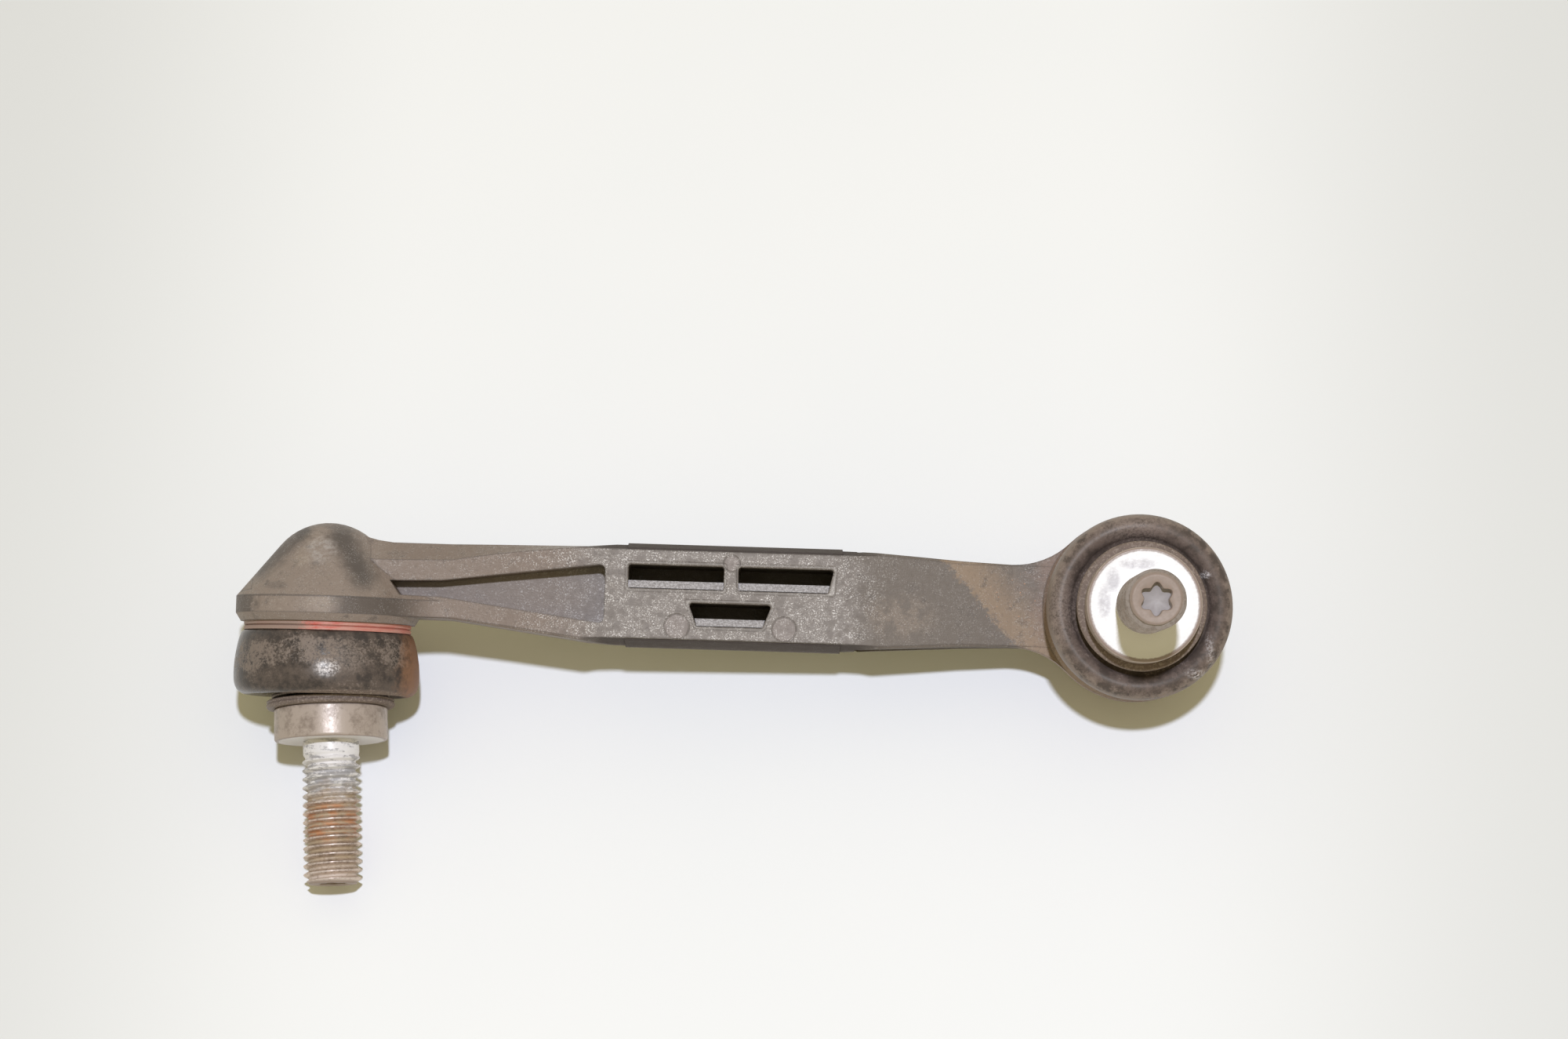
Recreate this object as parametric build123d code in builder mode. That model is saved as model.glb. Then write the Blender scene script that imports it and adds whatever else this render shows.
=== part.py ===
from build123d import *
from collections import namedtuple
from math import acos, atan2, cos, degrees, hypot, radians, sin, sqrt
import os

# Stabilizer link: a moulded plastic arm with a ball joint at each end.
# Millimetres. The origin is the left ball's centre and +X runs to the right ball.
# The right stud points along +Z. The left stud points along -Y and leans a little.

link_length = 140.0  # from ball centre to ball centre

# Ball studs: heights are measured from the ball's centre along the stud
ball_r = 8.0
neck_r = 4.25
neck_end = 10.4
seal_seat_r = 8.0
seal_seat_start = 17.2
collar_r = 9.8
collar_start = 21.5
collar_thickness = 5.6
collar_chamfer = 0.5
thread_r = 5.0  # M10 x 1.5
thread_length = 24.8
thread_chamfer = 0.9
collar_recess_r = 5.4  # shallow recess around the shank in the collar's face
collar_recess_depth = 0.1
drive_core_r = 2.05  # six-lobe socket, T30
drive_lobe_r = 0.62
drive_reach_r = 2.8
drive_depth = 4.0

# The left stud leans from its housing's axis, in degrees
lean_angle_to_arm = 3.3
lean_angle_to_front = 5.5

# Bearing shells
ball_clearance = 0.03
shell_wall = 1.0
shell_fit = 0.04
shell_mouth_r = 6.8
shell_flange_thickness = 1.3

# Housings
housing_wall = 1.95
shell_seat_height = 3.0
counterbore_r = 12.6
band_r = 16.0
band_start = 2.2
band_end = 5.1
rim_r = 15.1
rim_height = 6.5

# Closing rings, which press the shell down and hold the boot's bead
ring_r = 14.5
ring_thickness = 1.5
ring_bore_r = 10.2
ring_groove_depth = 0.35
ring_groove_width = 0.3
bead_r = 12.8
bead_width = 1.2
bead_height = 0.7
bead_gap = 0.05

# Boots: rows of share of the height, radius and share of the stud's lean
BootRow = namedtuple("BootRow", "height_share radius lean_share")
boot_rows = [
    BootRow(0.0, 14.6, 0.0),
    BootRow(0.24, 15.67, 0.2),
    BootRow(0.5, 16.18, 0.45),
    BootRow(0.74, 16.12, 0.75),
    BootRow(0.91, 15.28, 0.93),
    BootRow(1.0, 13.6, 1.0),
]
boot_wall = 1.2
boot_foot_r = 11.2
boot_foot_thickness = 1.0
boot_height = 10.7
boot_lip_r = 11.1
boot_groove_r = 9.3
boot_groove_width = 1.2
seal_gap = 0.05
garter_wire_r = 0.42

# Arm: half sizes of its octagonal sections at distances from the nearest ball.
# The face is where a pocket opens, and the back is the side away from the stud.
# The first four sections round the back into the dome and end level with the band.
ArmSection = namedtuple(
    "ArmSection", "distance face ridge back back_flat low stud_side stud_flat"
)
arm_sections = [
    ArmSection(5.6, 7.1, 4.7, 9.0, 2.4, 4.9, band_end, 7.0),
    ArmSection(6.8, 7.1, 4.7, 8.65, 2.4, 4.9, band_end, 7.0),
    ArmSection(8.6, 7.1, 4.7, 8.2, 2.4, 4.9, band_end, 7.0),
    ArmSection(11.2, 7.1, 4.7, 7.88, 2.4, 4.9, band_end, 7.0),
    ArmSection(21.3, 7.1, 4.9, 7.85, 2.6, 4.95, 5.2, 6.9),
    ArmSection(30.0, 7.4, 6.3, 8.0, 3.0, 6.0, 6.35, 6.9),
    ArmSection(38.0, 7.9, 7.2, 8.1, 3.2, 7.0, 7.4, 7.4),
    ArmSection(45.0, 8.3, 7.9, 8.2, 3.4, 7.9, 8.3, 7.9),
]
flare_r = 14.0  # fillets in plan between the arm and the housing's band
flare_sink = 0.1  # how far the fillets' sloping part starts inside the band
flare_tail = 0.5  # how far the fillets' straight part runs on along the arm

# Mid block
block_start = 50.0  # from either ball
block_half = 8.7
block_edge = 7.6
block_flat = 2.0
pad_rise = 0.3
pad_left_margin = 2.0
pad_right_margin = 0.8
pad_side_margin = 0.7

# Pockets on both sides of the web, in either half of the arm
web_half = 2.4
pocket_corner_r = 1.0
pocket_start = 11.2
pocket_start_back = 1.1
pocket_start_stud = 1.4
pocket_start_slant = 1.8
pocket_bend = 20.0
pocket_bend_back = 1.35
pocket_bend_stud = 1.5
pocket_end_wall = 1.7
pocket_end_back = 5.0
pocket_end_stud = 5.3

# Windows in the mid block's front: two in the upper row, one in the lower row
window_depth = 14.9
window_corner_r = 0.5
window_rim = 0.3
window_left_margin = 2.3
window_right_margin = 2.2
window_gap = 2.5
window_slant = 1.0
upper_window_low = 1.0
upper_window_high = 5.1
lower_window_low = -5.3
lower_window_high = -1.3
lower_window_shortening = 2.1  # from an upper window's length
lower_window_taper = 3.0  # from its top to its foot

# Sizes that follow from the ones above
socket_r = ball_r + ball_clearance
shell_r = socket_r + shell_wall
cavity_r = shell_r + shell_fit
dome_r = cavity_r + housing_wall
shell_top = shell_seat_height + shell_flange_thickness
spigot_r = counterbore_r - shell_fit
ring_top = rim_height + ring_thickness
boot_top = ring_top + boot_height
lip_start = boot_top + boot_groove_width
lip_end = collar_start - seal_gap
seal_bore_r = seal_seat_r + seal_gap
garter_r = boot_groove_r + seal_gap + garter_wire_r
collar_end = collar_start + collar_thickness
stud_end = collar_end + thread_length
cone_top_angle = degrees(
    atan2(band_start, band_r) - acos(dome_r / hypot(band_r, band_start))
)
cone_top_r = dome_r * cos(radians(cone_top_angle))
cone_top_height = dome_r * sin(radians(cone_top_angle))
cone_slope = degrees(atan2(band_r - cone_top_r, band_start - cone_top_height))
flare_half = arm_sections[0].face
block_end = link_length - block_start
pad_start = block_start + pad_left_margin
pad_end = block_end - pad_right_margin
pocket_end = block_start - pocket_end_wall
window_start = block_start + window_left_margin
window_end = block_end - window_right_margin
window_length = (window_end - window_start - window_gap) / 2
lower_window_top_half = (window_length - lower_window_shortening) / 2
lower_window_foot_half = lower_window_top_half - lower_window_taper / 2
flare_reach = sqrt((band_r + flare_r) ** 2 - (flare_half + flare_r) ** 2)

# A seat is a housing's plane: its x points at the arm and its z along the stud
left_seat = Plane(origin=(0, 0, 0), x_dir=(1, 0, 0), z_dir=(0, -1, 0))
right_seat = Plane(origin=(link_length, 0, 0), x_dir=(-1, 0, 0), z_dir=(0, 0, 1))


def leaning(seat, lean, share=1.0):
    to_arm, to_front = lean
    return seat.rotated((-to_front * share, 0, to_arm * share), Extrinsic.XYZ)


def profile_plane(seat):
    return Plane(origin=seat.origin, x_dir=seat.x_dir, z_dir=-seat.y_dir)


def stud_axis(seat):
    return Axis(seat.origin, seat.z_dir)


def left_corners(s):
    front = [(s.back, s.back_flat), (s.ridge, s.face), (-s.low, s.face), (-s.stud_side, s.stud_flat)]
    return front + [(y, -z) for y, z in reversed(front)]


def right_corners(s):
    upper = [(s.face, s.low), (s.stud_flat, s.stud_side), (-s.stud_flat, s.stud_side), (-s.face, s.low)]
    lower = [(-s.face, -s.ridge), (-s.back_flat, -s.back), (s.back_flat, -s.back), (s.face, -s.ridge)]
    return upper + lower


def block_corners():
    upper = [(block_half, block_flat), (block_edge, block_half)]
    upper += [(-y, z) for y, z in reversed(upper)]
    return upper + [(y, -z) for y, z in reversed(upper)]


def arm_outline():
    rows = [(s.distance, left_corners(s)) for s in arm_sections]
    rows += [(block_start, block_corners()), (block_end, block_corners())]
    rows += [(link_length - s.distance, right_corners(s)) for s in reversed(arm_sections)]
    return rows


def pocket_outline():
    return [
        (pocket_start, pocket_start_back),
        (pocket_bend, pocket_bend_back),
        (pocket_end, pocket_end_back),
        (pocket_end, -pocket_end_stud),
        (pocket_bend, -pocket_bend_stud),
        (pocket_start + pocket_start_slant, -pocket_start_stud),
    ]


os.makedirs("parts", exist_ok=True)

# The link's body: arm and both housings in one moulding
with BuildPart() as link_body:
    for x, corners in arm_outline():
        with BuildSketch(Plane.YZ.offset(x)):
            Polygon(*corners, align=None)
    loft(ruled=True)

    pad_edge = block_half - pad_side_margin
    pad_drop = (block_half - block_edge) * (pad_edge - block_flat) / (block_half - block_flat)
    with BuildSketch(Plane.YZ.offset(pad_start)):
        Polygon(
            (block_edge, -pad_edge),
            (block_half - pad_drop + pad_rise, -pad_edge),
            (block_half + pad_rise, -block_flat),
            (block_half + pad_rise, block_flat),
            (block_half - pad_drop + pad_rise, pad_edge),
            (block_edge, pad_edge),
            align=None,
        )
        mirror(about=Plane.YZ)
    extrude(amount=pad_end - pad_start)

    for seat in (left_seat, right_seat):
        with BuildSketch(profile_plane(seat)):
            with BuildLine():
                dome = CenterArc((0, 0), dome_r, -90, 90 + cone_top_angle)
                Polyline(
                    dome @ 1,
                    (band_r, band_start),
                    (band_r, band_end),
                    (rim_r, rim_height),
                    (0, rim_height),
                    dome @ 0,
                )
            make_face()
        revolve(axis=stud_axis(seat))

        with BuildSketch(seat.offset(band_start)) as flare:
            Circle(band_r)
            with Locations((flare_reach / 2, 0)):
                Rectangle(flare_reach + 2 * flare_tail, 2 * flare_half)
            fillet(flare.vertices().group_by(Axis.X)[0], flare_r)
        extrude(amount=band_end - band_start)
        with BuildSketch(seat.offset(band_start)) as sloping_flare:
            Circle(band_r - flare_sink)
            with Locations((flare_reach / 2, 0)):
                Rectangle(flare_reach + 2 * flare_tail, 2 * flare_half - 2 * flare_sink)
            fillet(sloping_flare.vertices().group_by(Axis.X)[0], flare_r)
        extrude(amount=-band_start - arm_sections[0].ridge, taper=cone_slope)

    for seat in (left_seat, right_seat):
        with BuildSketch(profile_plane(seat)):
            with BuildLine():
                bowl = CenterArc((0, 0), cavity_r, -90, 90)
                Polyline(
                    bowl @ 1,
                    (cavity_r, shell_seat_height),
                    (counterbore_r, shell_seat_height),
                    (counterbore_r, rim_height),
                    (0, rim_height),
                    bowl @ 0,
                )
            make_face()
        revolve(axis=stud_axis(seat), mode=Mode.SUBTRACT)

        for facing in (1, -1):
            side = Plane(origin=seat.origin, x_dir=seat.x_dir, z_dir=seat.y_dir * facing)
            with BuildSketch(side.offset(web_half)) as pocket:
                Polygon(*[(x, facing * y) for x, y in pocket_outline()], align=None)
                fillet(pocket.vertices().group_by(Axis.X)[-1], pocket_corner_r)
            extrude(amount=block_half, mode=Mode.SUBTRACT)

    with BuildSketch(Plane.XY.offset(block_half)) as windows:
        Polygon(
            (window_start, upper_window_low),
            (window_start + window_length, upper_window_low),
            (window_start + window_length, upper_window_high),
            (window_start, upper_window_high),
            align=None,
        )
        Polygon(
            (window_end - window_length, upper_window_low),
            (window_end - window_slant, upper_window_low),
            (window_end, upper_window_high),
            (window_end - window_length, upper_window_high),
            align=None,
        )
        Polygon(
            (link_length / 2 - lower_window_foot_half, lower_window_low),
            (link_length / 2 + lower_window_foot_half, lower_window_low),
            (link_length / 2 + lower_window_top_half, lower_window_high),
            (link_length / 2 - lower_window_top_half, lower_window_high),
            align=None,
        )
        fillet(windows.vertices(), window_corner_r)
    extrude(amount=-window_depth, mode=Mode.SUBTRACT)
    chamfer(link_body.edges(Select.LAST).group_by(Axis.Z)[-1], window_rim)

link_body.part.label = "link_body"
export_step(link_body.part, "parts/link_body.step")


def make_shell(name, seat):
    mouth_angle = degrees(acos(shell_mouth_r / socket_r))
    flange_r = counterbore_r - shell_fit
    with BuildPart() as shell:
        with BuildSketch(profile_plane(seat)):
            with BuildLine():
                outside = CenterArc((0, 0), shell_r, -90, 90)
                inside = CenterArc((0, 0), socket_r, -90, 90 + mouth_angle)
                Polyline(
                    outside @ 1,
                    (shell_r, shell_seat_height),
                    (flange_r, shell_seat_height),
                    (flange_r, shell_top),
                    (shell_mouth_r, shell_top),
                    inside @ 1,
                )
                Line(outside @ 0, inside @ 0)
            make_face()
        revolve(axis=stud_axis(seat))
    shell.part.label = name
    export_step(shell.part, f"parts/{name}.step")


def make_closing_ring(name, seat):
    groove_height = (rim_height + ring_top) / 2
    bead_inner_r = bead_r - bead_width / 2
    bead_outer_r = bead_r + bead_width / 2
    with BuildPart() as ring:
        with BuildSketch(profile_plane(seat)):
            Polygon(
                (ring_bore_r, shell_top),
                (spigot_r, shell_top),
                (spigot_r, rim_height),
                (ring_r, rim_height),
                (ring_r, groove_height - ring_groove_width / 2),
                (ring_r - ring_groove_depth, groove_height),
                (ring_r, groove_height + ring_groove_width / 2),
                (ring_r, ring_top),
                (bead_outer_r, ring_top),
                (bead_outer_r, ring_top - bead_height),
                (bead_inner_r, ring_top - bead_height),
                (bead_inner_r, ring_top),
                (ring_bore_r, ring_top),
                align=None,
            )
        revolve(axis=stud_axis(seat))
    ring.part.label = name
    export_step(ring.part, f"parts/{name}.step")


def boot_sections(inset):
    height = boot_height - inset
    return [(ring_top + r.height_share * height, r.radius - inset, r.lean_share) for r in boot_rows]


def make_boot(name, seat, lean):
    stud_seat = leaning(seat, lean)
    with BuildPart() as boot:
        for height, radius, tilt in boot_sections(0):
            with BuildSketch(leaning(seat, lean, tilt).offset(height)):
                Circle(radius)
        loft()
        for height, radius, tilt in boot_sections(boot_wall):
            with BuildSketch(leaning(seat, lean, tilt).offset(height)):
                Circle(radius)
        loft(mode=Mode.SUBTRACT)
        with BuildSketch(profile_plane(stud_seat)):
            Polygon(
                (0, boot_top - boot_wall / 2),
                (boot_groove_r, boot_top - boot_wall / 2),
                (boot_groove_r, lip_start),
                (boot_lip_r, lip_start),
                (boot_lip_r, lip_end),
                (0, lip_end),
                align=None,
            )
        revolve(axis=stud_axis(stud_seat))
        with BuildSketch(stud_seat.offset(boot_top - 2 * boot_wall)):
            Circle(seal_bore_r)
        extrude(amount=lip_end - boot_top + 3 * boot_wall, mode=Mode.SUBTRACT)
        with BuildSketch(profile_plane(seat)):
            Polygon(
                (boot_foot_r, ring_top),
                (bead_r - bead_width / 2 + bead_gap, ring_top),
                (bead_r - bead_width / 2 + bead_gap, ring_top - bead_height + bead_gap),
                (bead_r + bead_width / 2 - bead_gap, ring_top - bead_height + bead_gap),
                (bead_r + bead_width / 2 - bead_gap, ring_top),
                (boot_rows[0].radius - boot_wall / 2, ring_top),
                (boot_rows[0].radius - boot_wall / 2, ring_top + boot_foot_thickness),
                (boot_foot_r, ring_top + boot_foot_thickness),
                align=None,
            )
        revolve(axis=stud_axis(seat))
    boot.part.label = name
    export_step(boot.part, f"parts/{name}.step")


def make_garter(name, seat):
    with BuildPart() as garter:
        with BuildSketch(profile_plane(seat)):
            with Locations((garter_r, boot_top + boot_groove_width / 2)):
                Circle(garter_wire_r)
        revolve(axis=stud_axis(seat))
    garter.part.label = name
    export_step(garter.part, f"parts/{name}.step")


def make_ball_stud(name, seat):
    neck_angle = degrees(acos(neck_r / ball_r))
    with BuildPart() as stud:
        with BuildSketch(profile_plane(seat)):
            with BuildLine():
                ball = CenterArc((0, 0), ball_r, -90, 90 + neck_angle)
                Polyline(
                    ball @ 1,
                    (neck_r, neck_end),
                    (seal_seat_r, seal_seat_start),
                    (seal_seat_r, collar_start),
                    (collar_r, collar_start),
                    (collar_r, collar_end - collar_chamfer),
                    (collar_r - collar_chamfer, collar_end),
                    (collar_recess_r, collar_end),
                    (collar_recess_r, collar_end - collar_recess_depth),
                    (thread_r, collar_end - collar_recess_depth),
                    (thread_r, stud_end - thread_chamfer),
                    (thread_r - thread_chamfer, stud_end),
                    (0, stud_end),
                    ball @ 0,
                )
            make_face()
        revolve(axis=stud_axis(seat))
        with BuildSketch(seat.offset(stud_end)):
            Circle(drive_core_r)
            with PolarLocations(drive_reach_r - drive_lobe_r, 6, start_angle=90):
                Circle(drive_lobe_r)
        extrude(amount=-drive_depth, mode=Mode.SUBTRACT)
    stud.part.label = name
    export_step(stud.part, f"parts/{name}.step")


left_lean = (lean_angle_to_arm, lean_angle_to_front)
for side, seat, lean in (("left", left_seat, left_lean), ("right", right_seat, (0, 0))):
    stud_seat = leaning(seat, lean)
    make_shell(f"{side}_bearing_shell", seat)
    make_closing_ring(f"{side}_closing_ring", seat)
    make_boot(f"{side}_boot", seat, lean)
    make_garter(f"{side}_garter_ring", stud_seat)
    make_ball_stud(f"{side}_ball_stud", stud_seat)
    direction = stud_seat.z_dir
    print(side, "stud direction", round(direction.X, 5), round(direction.Y, 5), round(direction.Z, 5))
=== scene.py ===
from math import acos, cos, degrees, pi, radians, sin

import bmesh
import bpy
from mathutils import Matrix, Vector


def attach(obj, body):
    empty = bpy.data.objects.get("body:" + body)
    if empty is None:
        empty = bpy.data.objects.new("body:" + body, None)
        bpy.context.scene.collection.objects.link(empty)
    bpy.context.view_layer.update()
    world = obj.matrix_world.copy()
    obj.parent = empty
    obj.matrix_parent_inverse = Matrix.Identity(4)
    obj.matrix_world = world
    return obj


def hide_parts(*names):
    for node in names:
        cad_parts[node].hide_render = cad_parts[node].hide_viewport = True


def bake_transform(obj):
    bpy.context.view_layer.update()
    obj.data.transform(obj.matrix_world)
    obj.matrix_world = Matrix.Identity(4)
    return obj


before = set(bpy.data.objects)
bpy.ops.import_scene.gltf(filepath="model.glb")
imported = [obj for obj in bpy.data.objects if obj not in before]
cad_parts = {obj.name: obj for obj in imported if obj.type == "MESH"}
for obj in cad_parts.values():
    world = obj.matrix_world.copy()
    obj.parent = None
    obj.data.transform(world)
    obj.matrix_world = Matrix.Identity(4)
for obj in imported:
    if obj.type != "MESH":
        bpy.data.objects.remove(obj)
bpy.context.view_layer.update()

print("frame loaded")


# small helpers

def tone(red, green, blue):
    # a screen colour, 0 to 255, as the linear colour that a shader takes
    linear = []
    for channel in (red, green, blue):
        share = channel / 255
        linear.append(share / 12.92 if share <= 0.04045 else ((share + 0.055) / 1.055) ** 2.4)
    return (*linear, 1.0)


def metres(*millimetres):
    return Vector(millimetres) / 1000


class Wire:
    # a node's output that can stand in a sum
    def __init__(self, graph, socket):
        self.graph = graph
        self.socket = socket

    def pick(self, name):
        return Wire(self.graph, self.socket.node.outputs[name])

    def __add__(self, other):
        return self.graph.maths("ADD", self, other)

    def __sub__(self, other):
        return self.graph.maths("SUBTRACT", self, other)

    def __mul__(self, other):
        return self.graph.maths("MULTIPLY", self, other)

    def __truediv__(self, other):
        return self.graph.maths("DIVIDE", self, other)

    def __radd__(self, other):
        return self.graph.maths("ADD", other, self)

    def __rsub__(self, other):
        return self.graph.maths("SUBTRACT", other, self)

    def __rmul__(self, other):
        return self.graph.maths("MULTIPLY", other, self)


class Graph:
    # one node tree, for a material, the world or Geometry Nodes
    def __init__(self, tree):
        self.tree = tree
        tree.nodes.clear()

    def node(self, kind, settings=None, values=None, out=0):
        made = self.tree.nodes.new(kind)
        for key, value in (settings or {}).items():
            setattr(made, key, value)
        for key, value in (values or {}).items():
            if isinstance(value, Wire):
                self.tree.links.new(value.socket, made.inputs[key])
            else:
                made.inputs[key].default_value = value
        return Wire(self, made.outputs[out]) if len(made.outputs) else None

    def maths(self, operation, *terms):
        return self.node("ShaderNodeMath", {"operation": operation}, dict(enumerate(terms)))

    def vector(self, operation, *terms, out=0):
        settings = {"operation": operation}
        return self.node("ShaderNodeVectorMath", settings, dict(enumerate(terms)), out)

    def rise(self, value, low, high):
        # 0 below low, 1 above high, smooth between; it falls where low is the larger
        settings = {"interpolation_type": "SMOOTHSTEP"}
        values = {"Value": value, "From Min": low, "From Max": high}
        return self.node("ShaderNodeMapRange", settings, values)

    def band(self, value, low, lowFull, highFull, high):
        # 1 from lowFull to highFull, 0 below low and above high
        return self.rise(value, low, lowFull) * self.rise(value, high, highFull)

    def mix(self, share, first, second):
        # a Mix node's colours are its sockets 6 and 7, and the mixed colour is its output 2
        settings = {"data_type": "RGBA", "clamp_factor": True}
        return self.node("ShaderNodeMix", settings, {0: share, 6: first, 7: second}, 2)

    def noise(self, place, scale, detail=2.0, roughness=0.55):
        values = {"Vector": place, "Scale": scale, "Detail": detail, "Roughness": roughness}
        return self.node("ShaderNodeTexNoise", None, values)

    def stretched(self, place, factors):
        return self.vector("MULTIPLY", place, factors)

    def spot(self, place, centre, radii):
        # 1 in the middle of an ellipsoid, 0 outside it
        inside = self.vector("DIVIDE", self.vector("SUBTRACT", place, centre), radii)
        return self.rise(self.vector("LENGTH", inside, out="Value"), 1.0, 0.35)

    def far(self, place, centre):
        return self.vector("DISTANCE", place, centre, out="Value")

    def scaled(self, direction, factor):
        values = {0: direction, "Scale": factor}
        return self.node("ShaderNodeVectorMath", {"operation": "SCALE"}, values)

    def segment(self, place, start, end):
        # how far a place is from a straight line between two points
        whole = Vector(end) - Vector(start)
        fromStart = self.vector("SUBTRACT", place, tuple(start))
        perLength = tuple(whole / whole.length_squared)
        share = self.vector("DOT_PRODUCT", fromStart, perLength, out="Value")
        share = self.maths("MINIMUM", self.maths("MAXIMUM", share, 0.0), 1.0)
        return self.far(fromStart, self.scaled(tuple(whole), share))


glossTint = (1.0, 0.93, 0.8, 1.0)  # keeps highlights warm under the bluish lamp


class Finish(Graph):
    # a material: its place is in millimetres
    def __init__(self, name, restPlace=False):
        self.material = bpy.data.materials.new(name)
        self.material.use_nodes = True
        super().__init__(self.material.node_tree)
        if restPlace:
            own = self.node("ShaderNodeAttribute", {"attribute_name": "restPlace"}, out="Vector")
        else:
            own = self.node("ShaderNodeTexCoord", out="Object")
        self.place = self.scaled(own, 1000.0)
        axes = self.node("ShaderNodeSeparateXYZ", None, {0: self.place})
        self.x, self.y, self.z = axes, axes.pick("Y"), axes.pick("Z")

    def roundAxis(self, centre, direction):
        # height along an axis and distance from it
        toPoint = self.vector("SUBTRACT", self.place, centre)
        along = self.vector("DOT_PRODUCT", toPoint, direction, out="Value")
        return along, self.far(toPoint, self.scaled(direction, along))

    def close(self, colour, roughness, bump=None, depth=0.05, edge=0.0, **constants):
        # depth of the bump and rounding of the edges in mm
        values = {"Base Color": colour, "Roughness": roughness, "Specular Tint": glossTint}
        values.update({key.replace("_", " "): value for key, value in constants.items()})
        normal = None
        if edge:
            normal = self.node("ShaderNodeBevel", {"samples": 4}, {"Radius": edge / 1000})
        if bump is not None:
            bumpValues = {"Height": bump, "Distance": depth / 1000, "Strength": 1.0}
            if normal:
                bumpValues["Normal"] = normal
            normal = self.node("ShaderNodeBump", None, bumpValues)
        if normal:
            values["Normal"] = normal
        surface = self.node("ShaderNodeBsdfPrincipled", None, values)
        self.node("ShaderNodeOutputMaterial", None, {"Surface": surface})
        return self.material


# camera, at the photograph's angle

cameraView = {
    "place": (78.85, -30.8, 799.0),  # mm
    "looksAt": (78.85, 14.05, 0.0),
    "turn": 1.74,  # degrees, of the picture's right side
    "lens": 105.35,
    "sensor": 36.0,
    "nearest": 0.01,  # metres
}
cameraData = bpy.data.cameras.new("camera")
cameraData.lens = cameraView["lens"]
cameraData.sensor_width = cameraView["sensor"]
cameraData.clip_start = cameraView["nearest"]
camera = bpy.data.objects.new("camera", cameraData)
bpy.context.scene.collection.objects.link(camera)
backward = (metres(*cameraView["place"]) - metres(*cameraView["looksAt"])).normalized()
turn = radians(cameraView["turn"])
rightward = Vector((cos(turn), sin(turn), 0))
rightward = (rightward - rightward.dot(backward) * backward).normalized()
upward = backward.cross(rightward)
facing = Matrix((rightward, upward, backward)).transposed().to_4x4()
camera.matrix_world = Matrix.Translation(metres(*cameraView["place"])) @ facing
bpy.context.scene.camera = camera
bpy.context.scene.view_settings.view_transform = "Standard"
print("camera placed")


# finishes

bodyLook = {
    "dome": tone(142, 127, 115),
    "domeDark": tone(74, 67, 62),
    "arm": tone(131, 115, 103),
    "block": tone(138, 129, 122),
    # glass fibre specks; also the colour of the painted highlight round the windows
    "speck": tone(220, 213, 206),
    # painted highlight colour for the dome's rubbed place
    "glint": tone(186, 178, 172),
    "dust": tone(164, 148, 132),
    "right": tone(111, 101, 92),
    "rightDust": tone(156, 134, 112),
    "rightHaze": tone(144, 128, 113),
    "rightEnd": tone(132, 112, 99),
    # dark soot for patches and pits, also the painted shade in the crease and along the edges
    "sootAndShade": tone(84, 76, 71),
    # painted shade for the block's flanks
    "side": tone(70, 62, 58),
    # painted light for the block's lower front edge
    "litLowEdge": tone(172, 160, 138),
    # painted shade for the windows' hollows
    "hollowShade": tone(94, 82, 62),
    "spark": tone(214, 150, 104),
    "pocket": tone(134, 124, 116),
    "ejector": tone(150, 136, 131),
    # from where to where each tone takes over, from left to right, in mm
    "zones": (
        (4.0, 14.0, "arm"),
        (36.0, 50.0, "block"),
        (88.0, 94.0, "right"),
        (119.0, 124.0, "rightEnd"),
    ),
    # centre, radii and share of the dark smears, in mm
    "smears": (
        ((-7.5, -0.6, 9.0), (4.0, 1.4, 8.0), 0.35),
        ((-4.3, 8.8, 4.0), (2.0, 2.0, 9.0), 0.6),
        ((0.6, 10.6, 0.0), (4.5, 1.4, 12.0), 0.35),
    ),
    # the same for light dust
    "dusty": (
        ((-3.7, 4.4, 9.0), (2.2, 2.4, 6.0), 0.9),
        ((-2.4, 8.0, 7.0), (2.2, 1.9, 6.0), 0.6),
        ((0.2, -3.4, 14.0), (4.4, 2.0, 7.0), 0.7),
        ((-6.5, -3.9, 14.0), (3.6, 1.6, 7.0), 0.5),
    ),
    # start, end, reach and share of the dark streaks beside the dome's light middle
    "streaks": (
        ((-11.6, 2.4, 0.0), (-4.6, 9.2, 0.0), 3.0, 0.75),
        ((2.4, 8.6, 0.0), (6.9, 1.4, 0.0), 3.6, 0.85),
    ),
    # centre and radii of single places
    # the rubbed place, which also carries a painted highlight
    "rubbedAndHighlight": ((-0.7, 5.9, 9.0), (3.4, 3.6, 6.0)),
    "haze": ((99.5, -2.6, 8.0), (8.0, 5.0, 9.0)),
    "sparkPlace": ((118.0, 0.0, 5.0), (8.0, 8.0, 6.0)),
    "slantDust": (112.8, 114.4, 116.0, 126.0),
    "line": (0.2, 0.04),  # where a fine moulded line ends and where it is full
    # the reach of the painted shade lines along the edges
    "edgeReach": 0.0004,  # metres, of the dark lines along edges
    # centre, half width and half height of each window, and how fast it widens upwards
    "windowRims": (
        (60.55, 3.05, 8.2, 2.05, 0.0),
        (79.6, 3.05, 8.05, 2.05, 0.06),
        (70.0, -3.3, 6.45, 2.0, 0.37),
    ),
    "mouldMark": ((-12.7, 0.6), (-14.7, -1.5), (-12.6, -1.2)),  # corners of a small triangle
    # centre and radius of each round mark
    "ejectorMarks": ((70.1, 5.7, 1.4), (60.9, -5.47, 2.15), (79.42, -5.43, 2.1)),
}


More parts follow.
